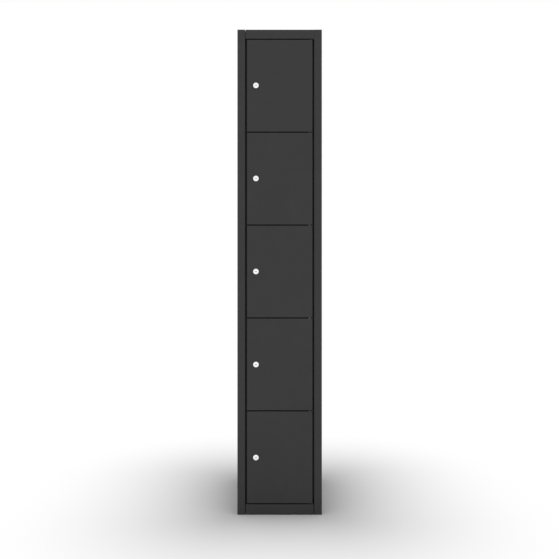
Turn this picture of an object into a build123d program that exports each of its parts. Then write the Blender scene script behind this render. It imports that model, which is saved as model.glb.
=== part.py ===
"""Steel parcel locker: one column of five compartments, each with a cam-locked door.

Millimetres, +Z up. The front faces -Y, and the origin is the centre of the footprint on the
floor. Doors and everything that belongs to one are numbered from the top.
"""

import os

from build123d import *

os.makedirs("parts", exist_ok=True)

# Cabinet
width = 310.0
depth = 450.0  # from the front faces to the rear flanges
height = 1780.0
door_count = 5

# Sheet steel
sheet = 0.8
fold_radius = 0.15  # inside of a sharp fold
lip_overlap = 0.6  # of a pan's rear lip into its edge wall
weld_gap = 0.2  # between a panel's edge and the panel that it is welded to
fold_relief = 0.6  # where one fold stops short of another panel
stiffening_lip = 12.0

# Front of the cabinet
upright_face = 28.0
top_rail_height = 33.0
plinth_height = 38.2
lock_side_rail_seam = 1.6
hinge_side_rail_seam = 0.3
rail_relief = 15.0  # of the lock-side seam into the top sheet, where two folds meet
plinth_seam = 2.4

# Folds behind the uprights
strike_flange = 14.0  # on the lock side, where the cam catches
hinge_flange = 6.0  # short enough for the door's rear edge to swing past
upright_side = 25.0  # from the front to where the side panel is butt-welded on

# Rear of the cabinet
back_recess = 12.0  # of the back panel's sheet from the wall
back_lip = 16.0  # round the rear of the back panel, against the wall

# Wall fixing holes in the back panel
fixing_hole_radius = 4.5
fixing_spacing_x = 200.0
fixing_edge_height = 125.0  # from either end of the cabinet

# Shelves
shelf_setback = 30.0
shelf_front_drop = 20.0
shelf_rise = 8.0  # of the shelf's top over the bottom of the gap between two doors
panel_flange = 15.0

# Doors
door_gap = 4.1
lock_side_gap = 7.3
hinge_side_gap = 6.7
door_depth = 18.0
door_lip = 10.0
stiffener_web = 36.0
stiffener_flange = 12.0
stiffener_end_gap = 1.0
stiffener_lip_gap = 1.6  # under the lips at the door's ends

# Hinges: a pin in a bracket in every gap, and a bush in each end of a door
pin_radius = 2.5
pin_inset_x = 9.8  # from the door's hinge edge
pin_inset_y = 10.0  # behind the door's front
pin_reach = 9.0  # into a door
pin_end_gap = 0.3
bracket_clearance = 0.2  # under the next door's bush
bracket_nose_radius = 6.0
bush_running_clearance = 0.05
bush_wall = 1.0
bush_length = 7.0
bush_flange_radius = 4.5
bush_flange_thickness = 1.0
press_clearance = 0.02

# Door buffers
buffer_width = 6.0
buffer_height = 15.0
buffer_thickness = 2.0
buffer_end_distance = 55.0  # from either end of a door

# Cam locks
lock_inset = 32.8  # from the door's free edge
lock_proud = 3.5
bezel_radius = 10.3
bezel_edge_radius = 1.0
barrel_radius = 9.3
barrel_flats = 16.4
barrel_hole_clearance = 0.1
plug_radius = 6.0
plug_running_clearance = 0.05
key_slot_width = 6.8
key_slot_height = 1.5
key_slot_depth = 9.0
nut_across_flats = 23.0
nut_thickness = 4.5
cam_end_play = 0.3
cam_clearance = 1.2  # behind the strike flange
cam_thickness = 2.5
cam_length = 36.0  # from the lock's axis to the tip
cam_width = 15.0
cam_hub_radius = 9.0
cam_square = 8.0
cam_square_clearance = 0.05
screw_radius = 2.0
screw_head_radius = 4.5
screw_head_height = 2.6
screw_length = 9.0
screw_slot_width = 1.2
screw_slot_depth = 1.0

# Places that follow from the sizes above
bend_radius = sheet + fold_radius
stop_setback = door_depth + buffer_thickness  # from the front to the flanges behind the doors
stiffener_depth = door_depth - 3 * sheet - stiffener_lip_gap
barrel_end = stop_setback + sheet + cam_clearance - cam_end_play  # behind the door's front
front_y = (lock_proud - depth) / 2
back_y = front_y + depth
rear_y = back_y - back_recess
half_width = width / 2
inner_x = half_width - sheet
panel_x = inner_x - weld_gap
opening_x = half_width - upright_face
stop_y = front_y + stop_setback
shelf_y = front_y + shelf_setback
door_left = lock_side_gap - opening_x
door_right = opening_x - hinge_side_gap
door_width = door_right - door_left
door_middle_x = (door_left + door_right) / 2
door_area = height - top_rail_height - plinth_height
door_height = (door_area - (door_count + 1) * door_gap) / door_count
door_pitch = door_height + door_gap
pin_x = door_right - pin_inset_x
pin_y = front_y + pin_inset_y
bush_radius = pin_radius + bush_running_clearance + bush_wall
bracket_thickness = door_gap - 2 * bush_flange_thickness - bracket_clearance
lock_x = door_left + lock_inset
cam_y = front_y + barrel_end + cam_end_play
doors = range(1, door_count + 1)


def gap_bottom(n):
    """Height of the lower side of the gap under door n, or over door 1 when n is 0."""
    return plinth_height + (door_count - n) * door_pitch


def door_bottom(n):
    """Height of the bottom edge of door n."""
    return gap_bottom(n) + door_gap


def lock_height(n):
    """Height of the axis of lock n."""
    return door_bottom(n) + door_height / 2


def facing(x, y, z):
    """A plane through a point, facing the front."""
    return Plane(origin=(x, y, z), x_dir=(1, 0, 0), z_dir=(0, -1, 0))


def plan(x0, x1, y0, y1, z):
    """A rectangle seen from above, from its edges."""
    with BuildSketch(Plane.XY.offset(z)) as rectangle:
        with Locations(((x0 + x1) / 2, (y0 + y1) / 2)):
            Rectangle(x1 - x0, y1 - y0)
    return rectangle.sketch


def folded(plane, outline, metal_side):
    """The section of a folded sheet, from one face of it and the side that the metal is on."""
    with BuildSketch(plane) as section:
        with BuildLine():
            FilletPolyline(*outline, radius=bend_radius)
            offset(amount=sheet, side=metal_side)
        make_face()
    return section.sketch


def round_with_flats(plane, radius, across):
    """A circle with two upright flats."""
    with BuildSketch(plane) as outline:
        Circle(radius)
        Rectangle(across, 2 * radius, mode=Mode.INTERSECT)
    return outline.sketch


def save(piece, name):
    """Name a finished piece and write it."""
    piece.part.label = name
    export_step(piece.part, f"parts/{name}.step")


def make_pan(middle_x, front, middle_z, pan_width, pan_height, pan_depth, lip):
    """A sheet folded back on four edges, with a lip round the rear."""
    with BuildPart() as pan:
        with BuildSketch(facing(middle_x, front, middle_z)):
            Rectangle(pan_width, pan_height)
        extrude(amount=-pan_depth)
        rear_edges = pan.faces().sort_by(Axis.Y)[-1].edges()
        fillet(pan.edges() - rear_edges, radius=bend_radius)
        offset(amount=-sheet, openings=pan.faces().sort_by(Axis.Y)[-1])
        with BuildSketch(facing(middle_x, front + pan_depth - sheet, middle_z)):
            Rectangle(pan_width - 2 * lip_overlap, pan_height - 2 * lip_overlap)
            Rectangle(pan_width - 2 * lip, pan_height - 2 * lip, mode=Mode.SUBTRACT)
        extrude(amount=-sheet)
    return pan.part


def make_side_panel(name, hand):
    """Flat side wall, from the upright to the wall behind. The left hand is -1."""
    wall_x = sorted([hand * inner_x, hand * half_width])
    with BuildPart() as panel:
        extrude(plan(*wall_x, front_y + upright_side, back_y, 0), amount=height)
    save(panel, name)


def make_upright(name, hand, metal_side, stop_flange):
    """Front upright with its side, return and stop flange from one strip. The left hand is -1."""
    outline = [
        (hand * half_width, front_y + upright_side),
        (hand * half_width, front_y),
        (hand * opening_x, front_y),
        (hand * opening_x, stop_y),
        (hand * (opening_x - stop_flange), stop_y),
    ]
    fold_end_x = opening_x - stop_flange - sheet
    fold_start_x = opening_x + bend_radius
    cut_x = sorted([hand * fold_end_x, hand * fold_start_x])
    flange_x = sorted([hand * fold_end_x, hand * opening_x])
    cut_y = (front_y + bend_radius, stop_y + 2 * sheet)
    flange_cut_y = (stop_y - bend_radius, stop_y + 2 * sheet)
    with BuildPart() as upright:
        extrude(folded(Plane.XY, outline, metal_side), amount=height)
        # The return fold stops under the top panel, and the stop flange over the base panel
        top_cut = plan(*cut_x, *cut_y, height - sheet - fold_relief)
        extrude(top_cut, amount=2 * sheet, mode=Mode.SUBTRACT)
        base_cut = plan(*flange_x, *flange_cut_y, 0)
        extrude(base_cut, amount=plinth_height + fold_relief, mode=Mode.SUBTRACT)
    save(upright, name)


def make_back_panel():
    """Pan with its flanges to the rear, welded between the side walls, with four wall fixing holes."""
    with BuildPart() as panel:
        add(make_pan(0, rear_y, height / 2, 2 * panel_x, height, back_recess, back_lip))
        with BuildSketch(facing(0, rear_y, height / 2)):
            with GridLocations(fixing_spacing_x, height - 2 * fixing_edge_height, 2, 2):
                Circle(fixing_hole_radius)
        extrude(amount=-2 * sheet, mode=Mode.SUBTRACT)
    save(panel, "back_panel")


def make_top_panel():
    """Top sheet with the front rail, its lip, and flanges at the sides and the rear."""
    rail_bottom = height - top_rail_height
    flange_bottom = height - panel_flange
    rail_left = lock_side_rail_seam - opening_x
    rail_right = opening_x - hinge_side_rail_seam
    outline = [
        (front_y + stiffening_lip, rail_bottom),
        (front_y, rail_bottom),
        (front_y, height),
        (rear_y, height),
        (rear_y, flange_bottom),
    ]
    fold_y = front_y + bend_radius
    with BuildPart() as panel:
        extrude(folded(Plane.YZ, outline, Side.RIGHT), amount=panel_x, both=True)
        # The rail ends at the uprights, which rise to the top in front of the sheet
        for x0, x1 in ((-half_width, rail_left), (rail_right, half_width)):
            face_cut = plan(x0, x1, front_y - sheet, fold_y, rail_bottom - sheet)
            extrude(face_cut, amount=top_rail_height + 2 * sheet, mode=Mode.SUBTRACT)
            lip_cut = plan(x0, x1, fold_y, shelf_y, rail_bottom - sheet)
            extrude(lip_cut, amount=3 * sheet, mode=Mode.SUBTRACT)
        relief = plan(-opening_x, rail_left, front_y, front_y + rail_relief, height - 2 * sheet)
        extrude(relief, amount=3 * sheet, mode=Mode.SUBTRACT)
        for x0, x1 in ((-panel_x, sheet - panel_x), (panel_x - sheet, panel_x)):
            flange = plan(x0, x1, fold_y, rear_y - bend_radius, flange_bottom)
            extrude(flange, amount=panel_flange)
    save(panel, "top_panel")


def make_base_panel():
    """Plinth and compartment floor from one sheet, standing on lips and notched for the uprights."""
    outline = [
        (front_y + stiffening_lip, 0),
        (front_y, 0),
        (front_y, plinth_height),
        (rear_y, plinth_height),
        (rear_y, 0),
        (rear_y - stiffening_lip, 0),
    ]
    plinth_x = opening_x - plinth_seam
    with BuildPart() as panel:
        extrude(folded(Plane.YZ, outline, Side.RIGHT), amount=panel_x, both=True)
        for x0, x1 in ((-half_width, -plinth_x), (plinth_x, half_width)):
            notch = plan(x0, x1, front_y - sheet, shelf_y, -sheet)
            extrude(notch, amount=plinth_height + 2 * sheet, mode=Mode.SUBTRACT)
        for x0, x1 in ((-panel_x, sheet - panel_x), (panel_x - sheet, panel_x)):
            flange = plan(x0, x1, shelf_y, rear_y - bend_radius, 0)
            extrude(flange, amount=plinth_height)
    save(panel, "base_panel")


def make_shelf(n):
    """Shelf between compartments n and n + 1, flanged down on all four edges."""
    top = gap_bottom(n) + shelf_rise
    front_edge = top - shelf_front_drop
    flange_bottom = top - panel_flange
    outline = [
        (shelf_y + stiffening_lip, front_edge),
        (shelf_y, front_edge),
        (shelf_y, top),
        (rear_y, top),
        (rear_y, flange_bottom),
    ]
    with BuildPart() as shelf:
        extrude(folded(Plane.YZ, outline, Side.RIGHT), amount=panel_x, both=True)
        for x0, x1 in ((-panel_x, sheet - panel_x), (panel_x - sheet, panel_x)):
            flange = plan(x0, x1, shelf_y + bend_radius, rear_y - bend_radius, flange_bottom)
            extrude(flange, amount=panel_flange)
    save(shelf, f"shelf_{n}")


def bracket_bottom(n):
    """Underside of the hinge bracket in the gap under door n, whose door rests on it."""
    return door_bottom(n) - bush_flange_thickness - bracket_thickness


def make_hinge_brackets():
    """Six tabs welded to the hinge-side upright, one in every gap, each with a pin hole."""
    with BuildPart() as brackets:
        for n in range(door_count + 1):
            with BuildSketch(Plane.XY.offset(bracket_bottom(n))):
                with Locations((pin_x, pin_y)):
                    Circle(bracket_nose_radius)
                with Locations(((pin_x + opening_x) / 2, pin_y)):
                    Rectangle(opening_x - pin_x, 2 * bracket_nose_radius)
                with Locations((pin_x, pin_y)):
                    Circle(pin_radius + press_clearance, mode=Mode.SUBTRACT)
            extrude(amount=bracket_thickness)
    save(brackets, "hinge_brackets")


def make_hinge_pins():
    """A pin pressed into every bracket, reaching into the doors over and under it."""
    with BuildPart() as pins:
        for n in range(door_count + 1):
            bottom = gap_bottom(n) - pin_reach
            top = door_bottom(n) + pin_reach
            if n == 0:
                top = door_bottom(n) - pin_end_gap
            if n == door_count:
                bottom = gap_bottom(n) + pin_end_gap
            with BuildSketch(Plane.XY.offset(bottom)):
                with Locations((pin_x, pin_y)):
                    Circle(pin_radius)
            extrude(amount=top - bottom)
    save(pins, "hinge_pins")


def make_door_buffers():
    """Two rubber pads a door, stuck to the strike flange where the door's lip comes to rest."""
    pad_x = (door_left + strike_flange - opening_x) / 2
    pad_ends = (buffer_end_distance, door_height - buffer_end_distance)
    with BuildPart() as buffers:
        for n in doors:
            for end in pad_ends:
                with BuildSketch(facing(pad_x, stop_y, door_bottom(n) + end)):
                    Rectangle(buffer_width, buffer_height)
                extrude(amount=buffer_thickness)
    save(buffers, "door_buffers")


def make_door(n):
    """Door pan: a skin folded back on four edges, with a lip round the rear."""
    middle_z = door_bottom(n) + door_height / 2
    with BuildPart() as door:
        add(make_pan(door_middle_x, front_y, middle_z, door_width, door_height, door_depth, door_lip))
        with Locations((pin_x, pin_y, middle_z)):
            Hole(bush_radius + press_clearance)
        hole_plane = facing(lock_x, front_y, lock_height(n))
        hole_radius = barrel_radius + barrel_hole_clearance
        hole_flats = barrel_flats + 2 * barrel_hole_clearance
        lock_hole = round_with_flats(hole_plane, hole_radius, hole_flats)
        extrude(lock_hole, amount=-2 * sheet, mode=Mode.SUBTRACT)
    save(door, f"door_{n}")


def make_door_stiffener(n):
    """Upright hat section welded to the back of the door's skin."""
    skin_y = front_y + sheet
    web_y = skin_y + stiffener_depth
    web_x = stiffener_web / 2
    edge_x = web_x + stiffener_flange
    outline = [
        (door_middle_x - edge_x, skin_y),
        (door_middle_x - web_x, skin_y),
        (door_middle_x - web_x, web_y),
        (door_middle_x + web_x, web_y),
        (door_middle_x + web_x, skin_y),
        (door_middle_x + edge_x, skin_y),
    ]
    end = sheet + stiffener_end_gap
    with BuildPart() as stiffener:
        section = folded(Plane.XY.offset(door_bottom(n) + end), outline, Side.LEFT)
        extrude(section, amount=door_height - 2 * end)
    save(stiffener, f"door_stiffener_{n}")


def make_hinge_bushes(n):
    """Flanged nylon bushes pushed into the bottom and top edges of the door."""
    ends = ((door_bottom(n), 1), (door_bottom(n) + door_height, -1))
    with BuildPart() as bushes:
        for edge_z, inward in ends:
            flange_plane = Plane((pin_x, pin_y, edge_z), z_dir=(0, 0, inward))
            with BuildSketch(flange_plane):
                Circle(bush_flange_radius)
                Circle(pin_radius + bush_running_clearance, mode=Mode.SUBTRACT)
            extrude(amount=-bush_flange_thickness)
            with BuildSketch(flange_plane):
                Circle(bush_radius)
                Circle(pin_radius + bush_running_clearance, mode=Mode.SUBTRACT)
            extrude(amount=bush_length)
    save(bushes, f"hinge_bushes_{n}")


def make_lock_housing(n):
    """Chromed bezel over the door's skin and a flatted barrel through it."""
    face = facing(lock_x, front_y, lock_height(n))
    with BuildPart() as housing:
        with BuildSketch(face):
            Circle(bezel_radius)
        extrude(amount=lock_proud)
        fillet(housing.faces().sort_by(Axis.Y)[0].edges(), radius=bezel_edge_radius)
        barrel = round_with_flats(face, barrel_radius, barrel_flats)
        extrude(barrel, amount=-barrel_end)
        with BuildSketch(face):
            Circle(plug_radius + plug_running_clearance)
        extrude(amount=barrel_end + lock_proud, both=True, mode=Mode.SUBTRACT)
    save(housing, f"lock_housing_{n}")


def make_lock_nut(n):
    """Hexagon nut that clamps the housing to the door's skin."""
    with BuildPart() as nut:
        with BuildSketch(facing(lock_x, front_y + sheet, lock_height(n))):
            RegularPolygon(nut_across_flats / 2, 6, major_radius=False)
            Circle(barrel_radius + barrel_hole_clearance, mode=Mode.SUBTRACT)
        extrude(amount=-nut_thickness)
    save(nut, f"lock_nut_{n}")


def make_lock_plug(n):
    """Turning plug with a key slot in front and a square for the cam behind."""
    lock_z = lock_height(n)
    face = facing(lock_x, front_y - lock_proud, lock_z)
    with BuildPart() as plug:
        with BuildSketch(face):
            Circle(plug_radius)
        extrude(amount=-(lock_proud + barrel_end))
        with BuildSketch(facing(lock_x, front_y + barrel_end, lock_z)):
            Rectangle(cam_square, cam_square)
        extrude(amount=-(cam_end_play + cam_thickness))
        with BuildSketch(face):
            Rectangle(key_slot_width, key_slot_height)
        extrude(amount=-key_slot_depth, mode=Mode.SUBTRACT)
        with BuildSketch(facing(lock_x, cam_y + cam_thickness, lock_z)):
            Circle(screw_radius + press_clearance)
        extrude(amount=screw_length + sheet, mode=Mode.SUBTRACT)
    save(plug, f"lock_plug_{n}")


def make_lock_cam(n):
    """Flat steel cam. It hangs down while the lock is open and turns behind the strike flange."""
    with BuildPart() as cam:
        with BuildSketch(facing(lock_x, cam_y, lock_height(n))):
            Circle(cam_hub_radius)
            with Locations((0, -cam_length / 2)):
                RectangleRounded(cam_width, cam_length, cam_width / 4)
            with Locations((0, -cam_width / 4)):
                Rectangle(cam_width, cam_width / 2)
            hole = cam_square + 2 * cam_square_clearance
            Rectangle(hole, hole, mode=Mode.SUBTRACT)
        extrude(amount=-cam_thickness)
    save(cam, f"lock_cam_{n}")


def make_cam_screw(n):
    """Slotted screw that holds the cam on the plug's square."""
    seat = facing(lock_x, cam_y + cam_thickness, lock_height(n))
    with BuildPart() as screw:
        with BuildSketch(seat):
            Circle(screw_head_radius)
        extrude(amount=-screw_head_height)
        head_face = screw.faces().sort_by(Axis.Y)[-1]
        fillet(head_face.edges(), radius=screw_slot_depth / 2)
        with BuildSketch(seat.offset(-screw_head_height)):
            Rectangle(3 * screw_head_radius, screw_slot_width)
        extrude(amount=screw_slot_depth, mode=Mode.SUBTRACT)
        with BuildSketch(seat):
            Circle(screw_radius)
        extrude(amount=screw_length)
    save(screw, f"cam_screw_{n}")


make_side_panel("side_panel_left", -1)
make_side_panel("side_panel_right", 1)
make_upright("upright_left", -1, Side.LEFT, strike_flange)
make_upright("upright_right", 1, Side.RIGHT, hinge_flange)
make_back_panel()
make_top_panel()
make_base_panel()
for shelf_number in range(1, door_count):
    make_shelf(shelf_number)
make_hinge_brackets()
make_hinge_pins()
make_door_buffers()
for door_number in doors:
    make_door(door_number)
    make_door_stiffener(door_number)
    make_hinge_bushes(door_number)
    make_lock_housing(door_number)
    make_lock_nut(door_number)
    make_lock_plug(door_number)
    make_lock_cam(door_number)
    make_cam_screw(door_number)
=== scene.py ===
"""Looks of the steel parcel locker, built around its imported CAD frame. Metres, +Z up, front to -Y."""

import math

import bmesh
import bpy
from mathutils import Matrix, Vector


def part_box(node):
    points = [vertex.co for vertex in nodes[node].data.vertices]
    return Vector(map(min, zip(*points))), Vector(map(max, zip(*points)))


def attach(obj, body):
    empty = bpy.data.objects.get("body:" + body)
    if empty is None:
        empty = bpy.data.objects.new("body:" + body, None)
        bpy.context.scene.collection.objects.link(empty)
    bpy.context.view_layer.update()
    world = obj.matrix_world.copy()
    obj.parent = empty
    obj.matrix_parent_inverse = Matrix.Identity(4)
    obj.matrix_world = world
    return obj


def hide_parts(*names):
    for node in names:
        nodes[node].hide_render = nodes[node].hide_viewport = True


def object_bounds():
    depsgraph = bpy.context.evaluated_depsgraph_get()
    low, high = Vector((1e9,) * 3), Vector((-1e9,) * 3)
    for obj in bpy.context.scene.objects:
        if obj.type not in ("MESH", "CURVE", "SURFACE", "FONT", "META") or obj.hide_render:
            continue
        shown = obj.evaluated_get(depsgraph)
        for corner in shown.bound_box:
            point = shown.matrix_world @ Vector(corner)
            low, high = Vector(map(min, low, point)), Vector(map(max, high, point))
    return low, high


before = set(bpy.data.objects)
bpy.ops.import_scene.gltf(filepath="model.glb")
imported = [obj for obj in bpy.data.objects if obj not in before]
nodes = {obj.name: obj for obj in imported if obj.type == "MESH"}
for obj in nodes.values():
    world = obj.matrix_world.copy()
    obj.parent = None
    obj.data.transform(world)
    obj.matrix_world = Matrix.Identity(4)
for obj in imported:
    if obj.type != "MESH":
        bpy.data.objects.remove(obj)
cad_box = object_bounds()


# ---------------------------------------------------------------------------------------------
# Carcass: flat side walls with folded uprights butt-welded to their front edges, back, top and
# base panels, and a shelf below each door but the lowest. Mild steel sheet, spot-welded together
# and powder-coated as one piece in a fine-textured anthracite.

door_numbers = range(1, 6)
coat_colour = (0.0295, 0.0295, 0.0298)
coat_shades = (0.96, 1.04)  # the darkest and lightest patches, as shares of the colour
coat_roughness = 0.7
gloss_swing = 0.03  # of the roughness, to either side
coat_reflection = 0.32  # specular level of the matt coating
shade_size = 0.22
gloss_size = 0.035
noise_reach = (0.3, 0.7)  # where nearly all of a noise's values lie
peel_size = 0.0016  # width of the ripples in the cured powder
peel_depth = 0.00006
grain_size = 0.00035
grain_depth = 0.00002
edge_round = 0.0003  # powder build-up on a sheared edge


def powder_coat(name, colour, roughness):
    """Cured polyester powder: a slight orange peel, a fine grain, and rounded sheet edges."""
    material = bpy.data.materials.new(name)
    material.use_nodes = True
    tree = material.node_tree
    shader = tree.nodes["Principled BSDF"]
    shader.inputs["Specular IOR Level"].default_value = coat_reflection
    place = tree.nodes.new("ShaderNodeTexCoord")

    def noise(size, detail):
        texture = tree.nodes.new("ShaderNodeTexNoise")
        texture.inputs["Scale"].default_value = 1 / size
        texture.inputs["Detail"].default_value = detail
        tree.links.new(place.outputs["Object"], texture.inputs["Vector"])
        return texture.outputs["Fac"]

    def spread(value, low, high):
        ramp = tree.nodes.new("ShaderNodeMapRange")
        ramp.inputs["From Min"].default_value = noise_reach[0]
        ramp.inputs["From Max"].default_value = noise_reach[1]
        ramp.inputs["To Min"].default_value = low
        ramp.inputs["To Max"].default_value = high
        tree.links.new(value, ramp.inputs["Value"])
        return ramp.outputs["Result"]

    tint = tree.nodes.new("ShaderNodeMix")
    tint.data_type = "RGBA"
    for end, share in zip("AB", coat_shades):
        tint.inputs[end].default_value = (*[share * c for c in colour], 1)
    tree.links.new(spread(noise(shade_size, 2), 0, 1), tint.inputs["Factor"])
    tree.links.new(tint.outputs["Result"], shader.inputs["Base Color"])
    gloss = spread(noise(gloss_size, 3), roughness - gloss_swing, roughness + gloss_swing)
    tree.links.new(gloss, shader.inputs["Roughness"])

    edges = tree.nodes.new("ShaderNodeBevel")
    edges.samples = 4
    edges.inputs["Radius"].default_value = edge_round
    peel = tree.nodes.new("ShaderNodeBump")
    peel.inputs["Strength"].default_value = 0.35
    peel.inputs["Distance"].default_value = peel_depth
    tree.links.new(noise(peel_size, 1), peel.inputs["Height"])
    tree.links.new(edges.outputs["Normal"], peel.inputs["Normal"])
    grain = tree.nodes.new("ShaderNodeBump")
    grain.inputs["Strength"].default_value = 0.3
    grain.inputs["Distance"].default_value = grain_depth
    tree.links.new(noise(grain_size, 2), grain.inputs["Height"])
    tree.links.new(peel.outputs["Normal"], grain.inputs["Normal"])
    tree.links.new(grain.outputs["Normal"], shader.inputs["Normal"])
    return material


def finish_nodes(names, material):
    """Give carried-over pieces their finish."""
    for name in names:
        for holder in nodes[name].material_slots:
            holder.material = material


coat = powder_coat("anthracite_powder_coat", coat_colour, coat_roughness)
finish_nodes(["side_panel_left", "side_panel_right", "upright_left", "upright_right"], coat)
finish_nodes(["back_panel", "top_panel", "base_panel"], coat)
finish_nodes([f"shelf_{n}" for n in door_numbers[:-1]], coat)


# ---------------------------------------------------------------------------------------------
# Hinge brackets: six tabs stamped from thicker sheet, with rolled-over edges, welded to the
# hinge-side upright and coated with the carcass.

stamped_edge = 0.0003
weld_gap = 1e-7  # nearer than this, corners of the carried-over triangles are one
flat_angle = math.radians(0.5)  # below this, two triangles are one flat face
sharp_angle = math.radians(30)  # above this, an edge is no facet of a round


def stand_in(shape, name, node, body, materials):
    """Finish a piece's mesh, give it its materials and put it in the place of its plain node."""
    mesh = bpy.data.meshes.new(name)
    shape.to_mesh(mesh)
    shape.free()
    mesh.shade_smooth()
    for material in materials:
        mesh.materials.append(material)
    piece = bpy.data.objects.new(name, mesh)
    bpy.context.scene.collection.objects.link(piece)
    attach(piece, body)
    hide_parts(node)


def merged_copy(node):
    """The carried-over piece as one closed mesh with flat faces."""
    shape = bmesh.new()
    shape.from_mesh(nodes[node].data)
    bmesh.ops.remove_doubles(shape, verts=shape.verts, dist=weld_gap)
    limits = {"verts": shape.verts, "edges": shape.edges}
    bmesh.ops.dissolve_limit(shape, angle_limit=flat_angle, **limits)
    return shape


def break_edges(shape, width, segments=2):
    """Round off every edge that is sharper than a facet of a round."""
    sharp = [e for e in shape.edges if e.is_manifold and e.calc_face_angle() > sharp_angle]
    bmesh.ops.bevel(
        shape,
        geom=sharp,
        offset=width,
        affect="EDGES",
        segments=segments,
        profile=0.5,
        material=-1,
        clamp_overlap=True,
    )


brackets = merged_copy("hinge_brackets")
break_edges(brackets, stamped_edge)
stand_in(brackets, "welded_hinge_brackets", "hinge_brackets", "cabinet", [coat])


# ---------------------------------------------------------------------------------------------
# Hinge pins: drawn steel wire, cut off with chamfered ends and bright zinc plated. The nuts, cams
# and cam screws of the locks are plated in the same bath.

pin_chamfer = 0.0005
zinc_colour = (0.55, 0.56, 0.57)
lines_along = 80  # drawing lines to a metre along the piece, and across it
lines_across = 3000
line_depth = 0.00002
cloud_scale = 220
cloud_shade = 0.8  # of the colour, where the passivation is darkest


def plated_steel(name, colour, roughness, brushed_along):
    """Zinc plate with faint drawing lines along one axis and a cloudy passivation."""
    material = bpy.data.materials.new(name)
    material.use_nodes = True
    tree = material.node_tree
    shader = tree.nodes["Principled BSDF"]
    shader.inputs["Metallic"].default_value = 1
    place = tree.nodes.new("ShaderNodeTexCoord")
    stretch = tree.nodes.new("ShaderNodeMapping")
    scales = [lines_along if axis == brushed_along else lines_across for axis in "xyz"]
    stretch.inputs["Scale"].default_value = scales
    tree.links.new(place.outputs["Object"], stretch.inputs["Vector"])
    lines = tree.nodes.new("ShaderNodeTexNoise")
    lines.inputs["Scale"].default_value = 1
    lines.inputs["Detail"].default_value = 2
    tree.links.new(stretch.outputs["Vector"], lines.inputs["Vector"])
    cloud = tree.nodes.new("ShaderNodeTexNoise")
    cloud.inputs["Scale"].default_value = cloud_scale
    cloud.inputs["Detail"].default_value = 4
    tree.links.new(place.outputs["Object"], cloud.inputs["Vector"])
    tint = tree.nodes.new("ShaderNodeMix")
    tint.data_type = "RGBA"
    tint.inputs["A"].default_value = (*[cloud_shade * c for c in colour], 1)
    tint.inputs["B"].default_value = (*colour, 1)
    tree.links.new(cloud.outputs["Fac"], tint.inputs["Factor"])
    tree.links.new(tint.outputs["Result"], shader.inputs["Base Color"])
    gloss = tree.nodes.new("ShaderNodeMapRange")
    gloss.inputs["To Min"].default_value = roughness - 0.08
    gloss.inputs["To Max"].default_value = roughness + 0.1
    tree.links.new(lines.outputs["Fac"], gloss.inputs["Value"])
    tree.links.new(gloss.outputs["Result"], shader.inputs["Roughness"])
    bump = tree.nodes.new("ShaderNodeBump")
    bump.inputs["Strength"].default_value = 0.25
    bump.inputs["Distance"].default_value = line_depth
    tree.links.new(lines.outputs["Fac"], bump.inputs["Height"])
    tree.links.new(bump.outputs["Normal"], shader.inputs["Normal"])
    return material


pin_zinc = plated_steel("drawn_zinc_plated_pin", zinc_colour, 0.3, "z")
cam_zinc = plated_steel("stamped_zinc_plated_steel", zinc_colour, 0.34, "z")
pins = merged_copy("hinge_pins")
break_edges(pins, pin_chamfer, 1)
stand_in(pins, "plated_hinge_pins", "hinge_pins", "cabinet", [pin_zinc])


# ---------------------------------------------------------------------------------------------
# Door buffers: black rubber pads, die-cut and stuck on the strike flange, so that a closing door
# lands softly.

buffer_edge = 0.0006


def plain_moulding(name, colour, roughness, texture_size, depth):
    """Rubber, nylon or a bare casting with a fine matt skin."""
    material = bpy.data.materials.new(name)
    material.use_nodes = True
    tree = material.node_tree
    shader = tree.nodes["Principled BSDF"]
    place = tree.nodes.new("ShaderNodeTexCoord")
    skin = tree.nodes.new("ShaderNodeTexNoise")
    skin.inputs["Scale"].default_value = 1 / texture_size
    skin.inputs["Detail"].default_value = 3
    tree.links.new(place.outputs["Object"], skin.inputs["Vector"])
    tint = tree.nodes.new("ShaderNodeMix")
    tint.data_type = "RGBA"
    tint.inputs["A"].default_value = (*[0.88 * c for c in colour], 1)
    tint.inputs["B"].default_value = (*[min(1.06 * c, 1) for c in colour], 1)
    tree.links.new(skin.outputs["Fac"], tint.inputs["Factor"])
    tree.links.new(tint.outputs["Result"], shader.inputs["Base Color"])
    gloss = tree.nodes.new("ShaderNodeMapRange")
    gloss.inputs["To Min"].default_value = roughness - 0.06
    gloss.inputs["To Max"].default_value = roughness + 0.06
    tree.links.new(skin.outputs["Fac"], gloss.inputs["Value"])
    tree.links.new(gloss.outputs["Result"], shader.inputs["Roughness"])
    bump = tree.nodes.new("ShaderNodeBump")
    bump.inputs["Strength"].default_value = 0.4
    bump.inputs["Distance"].default_value = depth
    tree.links.new(skin.outputs["Fac"], bump.inputs["Height"])
    tree.links.new(bump.outputs["Normal"], shader.inputs["Normal"])
    return material


buffer_rubber = plain_moulding("black_rubber", (0.018, 0.018, 0.018), 0.75, 0.0006, 0.00008)
pads = merged_copy("door_buffers")
break_edges(pads, buffer_edge, 3)
stand_in(pads, "rubber_door_pads", "door_buffers", "cabinet", [buffer_rubber])


# ---------------------------------------------------------------------------------------------
# Doors: folded pans with a hat-section stiffener, coated like the carcass, and natural nylon
# bushes pushed into their top and bottom edges.

bush_edge = 0.0002
bush_nylon = plain_moulding("natural_nylon", (0.7, 0.69, 0.64), 0.45, 0.0008, 0.00004)
for n in door_numbers:
    finish_nodes([f"door_{n}", f"door_stiffener_{n}"], coat)
    bushes = merged_copy(f"hinge_bushes_{n}")
    break_edges(bushes, bush_edge)
    body = f"door_body_{n}"
    stand_in(bushes, f"nylon_bushes_{n}", f"hinge_bushes_{n}", body, [bush_nylon])


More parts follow.
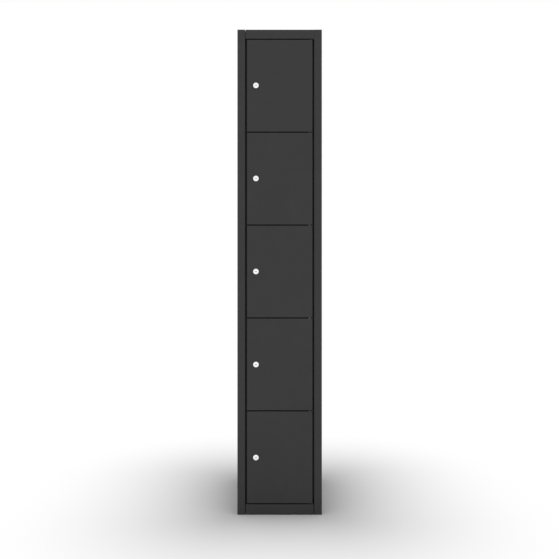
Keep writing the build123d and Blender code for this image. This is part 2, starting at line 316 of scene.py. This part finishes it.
# ---------------------------------------------------------------------------------------------
# Cam locks: zinc die-cast housing and plug, polished and chromed, held from behind by a nut, with
# a stamped cam and its screw on the plug's square. The keyway's faces are near-black: bare casting,
# darkened further as painted shade inside the slot.

burr_width = 0.00015  # rounding left on small cut and cast edges
hairline_scale = 2600
hairline_depth = 0.00001
thread_pitch = 0.001
thread_depth = 0.00035
thread_length = 0.0185
keyway_half_width = 0.0037  # a little over the slot's own, and so is its half height
keyway_half_height = 0.0009
keyway_depth = 0.0095


def chrome_plate(name, colour, roughness):
    """Bright chrome with hairline polishing scratches and slightly uneven gloss."""
    material = bpy.data.materials.new(name)
    material.use_nodes = True
    tree = material.node_tree
    shader = tree.nodes["Principled BSDF"]
    shader.inputs["Base Color"].default_value = (*colour, 1)
    shader.inputs["Metallic"].default_value = 1
    place = tree.nodes.new("ShaderNodeTexCoord")
    hairlines = tree.nodes.new("ShaderNodeTexNoise")
    hairlines.inputs["Scale"].default_value = hairline_scale
    hairlines.inputs["Detail"].default_value = 3
    hairlines.inputs["Distortion"].default_value = 1.5
    tree.links.new(place.outputs["Object"], hairlines.inputs["Vector"])
    gloss = tree.nodes.new("ShaderNodeMapRange")
    gloss.inputs["To Min"].default_value = roughness - 0.05
    gloss.inputs["To Max"].default_value = roughness + 0.06
    tree.links.new(hairlines.outputs["Fac"], gloss.inputs["Value"])
    tree.links.new(gloss.outputs["Result"], shader.inputs["Roughness"])
    bump = tree.nodes.new("ShaderNodeBump")
    bump.inputs["Strength"].default_value = 0.1
    bump.inputs["Distance"].default_value = hairline_depth
    tree.links.new(hairlines.outputs["Fac"], bump.inputs["Height"])
    tree.links.new(bump.outputs["Normal"], shader.inputs["Normal"])
    return material


def roll_thread(shape, node):
    """Press a thread's rings into the round sides of a barrel, and leave its two flats plain."""
    low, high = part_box(node)
    axis = Vector(((low.x + high.x) / 2, 0, (low.z + high.z) / 2))
    rear = [v.co - axis for v in shape.verts if v.co.y > high.y - thread_length]
    crest = max(math.hypot(co.x, co.z) for co in rear)
    flat = max(abs(co.x) for co in rear)
    roots = []
    for step in range(1, round(2 * thread_length / thread_pitch)):
        level = high.y - burr_width - step * thread_pitch / 2
        whole = shape.verts[:] + shape.edges[:] + shape.faces[:]
        cut = bmesh.ops.bisect_plane(shape, geom=whole, plane_co=(0, level, 0), plane_no=(0, 1, 0))
        if step % 2:
            roots += [v for v in cut["geom_cut"] if isinstance(v, bmesh.types.BMVert)]
    for vert in roots:
        across, up = vert.co.x - axis.x, vert.co.z - axis.z
        radius = math.hypot(across, up)
        if radius < crest - thread_depth:
            continue
        root = radius - thread_depth
        if abs(across) > flat - burr_width:
            up = math.copysign(math.sqrt(root**2 - across**2), up)
        else:
            across, up = across * root / radius, up * root / radius
        vert.co.x, vert.co.z = axis.x + across, axis.z + up


chrome = chrome_plate("polished_chrome", (0.93, 0.93, 0.935), 0.12)
# near-black: the bare zinc casting, darkened as painted shade inside the keyway
keyway_painted_shade = plain_moulding("bare_zinc_with_painted_shade", (0.035, 0.034, 0.033), 0.6, 0.0004, 0.00003)

for n in door_numbers:
    for kind in ("housing", "nut"):
        shape = merged_copy(f"lock_{kind}_{n}")
        break_edges(shape, burr_width)
        if kind == "housing":
            roll_thread(shape, f"lock_{kind}_{n}")
        slot, finish = ("lock_chrome", chrome) if kind == "housing" else ("zinc_steel", cam_zinc)
        stand_in(shape, f"cam_lock_{kind}_{n}", f"lock_{kind}_{n}", f"door_body_{n}", [finish])
    for kind in ("lock_cam", "cam_screw"):
        shape = merged_copy(f"{kind}_{n}")
        break_edges(shape, burr_width)
        stand_in(shape, f"plated_{kind}_{n}", f"{kind}_{n}", f"lock_rotor_{n}", [cam_zinc])

    low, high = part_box(f"lock_plug_{n}")
    axis_x, axis_z = (low.x + high.x) / 2, (low.z + high.z) / 2
    shape = merged_copy(f"lock_plug_{n}")
    break_edges(shape, burr_width, 1)
    # Faces inside the keyway get the near-black finish: bare casting with the slot's shade painted in.
    for face in shape.faces:
        middle = face.calc_center_median()
        in_width = abs(middle.x - axis_x) < keyway_half_width
        in_height = abs(middle.z - axis_z) < keyway_half_height
        in_depth = low.y + 2 * burr_width < middle.y < low.y + keyway_depth
        face.material_index = int(in_width and in_height and in_depth)
    finishes = [chrome, keyway_painted_shade]
    stand_in(shape, f"lock_cylinder_{n}", f"lock_plug_{n}", f"lock_rotor_{n}", finishes)


# ---------------------------------------------------------------------------------------------
# Studio: a floor of matt paper under a white dome. Near the cabinet the paper is darker, a painted
# contact shadow, and farther off it glows pure white, painted light. The dome is dimmer high up
# behind the cabinet, so that the front is a little lighter than the sides and the back.

floor_reach = 30.0
# the paper's colour is darkened so that the painted contact shadow beside the cabinet is deep
shadowed_paper_albedo = 0.57
shadow_reach = 0.9  # from the cabinet to where the painted contact shadow ends and the paper glows pure white
shadow_fade_power = 2.0  # how fast the painted contact shadow lightens away from the cabinet
dim_level = 0.45  # of the dome's high rear part
dim_height = (0.42, 0.6)  # where the dimming starts and where it is full, upwards
dim_depth = (0.0, 0.5)  # the same, towards the rear

floor_shape = bmesh.new()
bmesh.ops.create_grid(floor_shape, x_segments=1, y_segments=1, size=floor_reach)
floor_mesh = bpy.data.meshes.new("studio_floor")
floor_shape.to_mesh(floor_mesh)
floor_shape.free()
floor = bpy.data.objects.new("studio_floor", floor_mesh)
bpy.context.scene.collection.objects.link(floor)

floor_paint = bpy.data.materials.new("paper_with_painted_shadow")
floor_paint.use_nodes = True
tree = floor_paint.node_tree
tree.nodes.remove(tree.nodes["Principled BSDF"])


def vector_step(operation, source, value=None):
    """One vector operation on the floor's coordinates."""
    step = tree.nodes.new("ShaderNodeVectorMath")
    step.operation = operation
    tree.links.new(source, step.inputs[0])
    if value is not None:
        step.inputs[1].default_value = value
    return step


# Painted contact shadow: matt, darkened paper near the cabinet's footprint, mixed with a painted white
# glow farther off.
place = tree.nodes.new("ShaderNodeTexCoord")
mirrored = vector_step("ABSOLUTE", place.outputs["Object"])
footprint = (cad_box[1].x, cad_box[1].y, 0)
outside = vector_step("SUBTRACT", mirrored.outputs["Vector"], footprint)
clear_of = vector_step("MAXIMUM", outside.outputs["Vector"], (0, 0, 0))
distance = vector_step("LENGTH", clear_of.outputs["Vector"])
nearness = tree.nodes.new("ShaderNodeMapRange")
nearness.inputs["From Max"].default_value = shadow_reach
nearness.inputs["To Min"].default_value = 1
nearness.inputs["To Max"].default_value = 0
tree.links.new(distance.outputs["Value"], nearness.inputs["Value"])
painted_shadow_share = tree.nodes.new("ShaderNodeMath")
painted_shadow_share.operation = "POWER"
painted_shadow_share.inputs[1].default_value = shadow_fade_power
tree.links.new(nearness.outputs["Result"], painted_shadow_share.inputs[0])
matt = tree.nodes.new("ShaderNodeBsdfDiffuse")
matt.inputs["Color"].default_value = (shadowed_paper_albedo, shadowed_paper_albedo, shadowed_paper_albedo, 1)
painted_glow = tree.nodes.new("ShaderNodeEmission")
blend = tree.nodes.new("ShaderNodeMixShader")
tree.links.new(painted_shadow_share.outputs["Value"], blend.inputs["Fac"])
tree.links.new(painted_glow.outputs["Emission"], blend.inputs[1])
tree.links.new(matt.outputs["BSDF"], blend.inputs[2])
tree.links.new(blend.outputs["Shader"], tree.nodes["Material Output"].inputs["Surface"])
floor_mesh.materials.append(floor_paint)

dome = bpy.data.worlds.new("white_dome")
dome.use_nodes = True
tree = dome.node_tree
place = tree.nodes.new("ShaderNodeTexCoord")
direction = tree.nodes.new("ShaderNodeSeparateXYZ")
tree.links.new(place.outputs["Generated"], direction.inputs["Vector"])
shares = []
for axis, (start, end) in (("Z", dim_height), ("Y", dim_depth)):
    share = tree.nodes.new("ShaderNodeMapRange")
    share.interpolation_type = "SMOOTHSTEP"
    share.inputs["From Min"].default_value = start
    share.inputs["From Max"].default_value = end
    tree.links.new(direction.outputs[axis], share.inputs["Value"])
    shares.append(share.outputs["Result"])
high_and_behind = tree.nodes.new("ShaderNodeMath")
high_and_behind.operation = "MULTIPLY"
tree.links.new(shares[0], high_and_behind.inputs[0])
tree.links.new(shares[1], high_and_behind.inputs[1])
light = tree.nodes.new("ShaderNodeMapRange")
light.inputs["To Min"].default_value = 1
light.inputs["To Max"].default_value = dim_level
tree.links.new(high_and_behind.outputs["Value"], light.inputs["Value"])
tree.links.new(light.outputs["Result"], tree.nodes["Background"].inputs["Color"])
bpy.context.scene.world = dome
bpy.context.scene.view_settings.view_transform = "Standard"


# ---------------------------------------------------------------------------------------------
# Camera: level, at chest height and square to the front, far enough away that the whole cabinet
# stands in the frame with white space round it.

camera_height = 0.8633
camera_distance = 2.478  # from the front faces
camera_left = 0.0005  # of the cabinet's middle
lens_length = 43.5  # millimetres, as is the sensor
sensor_width = 36
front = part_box("door_1")[0].y
camera_data = bpy.data.cameras.new("camera")
camera_data.lens = lens_length
camera_data.sensor_width = sensor_width
camera = bpy.data.objects.new("camera", camera_data)
camera.location = (-camera_left, front - camera_distance, camera_height)
camera.rotation_euler = (math.radians(90), 0, 0)
bpy.context.scene.collection.objects.link(camera)
bpy.context.scene.camera = camera
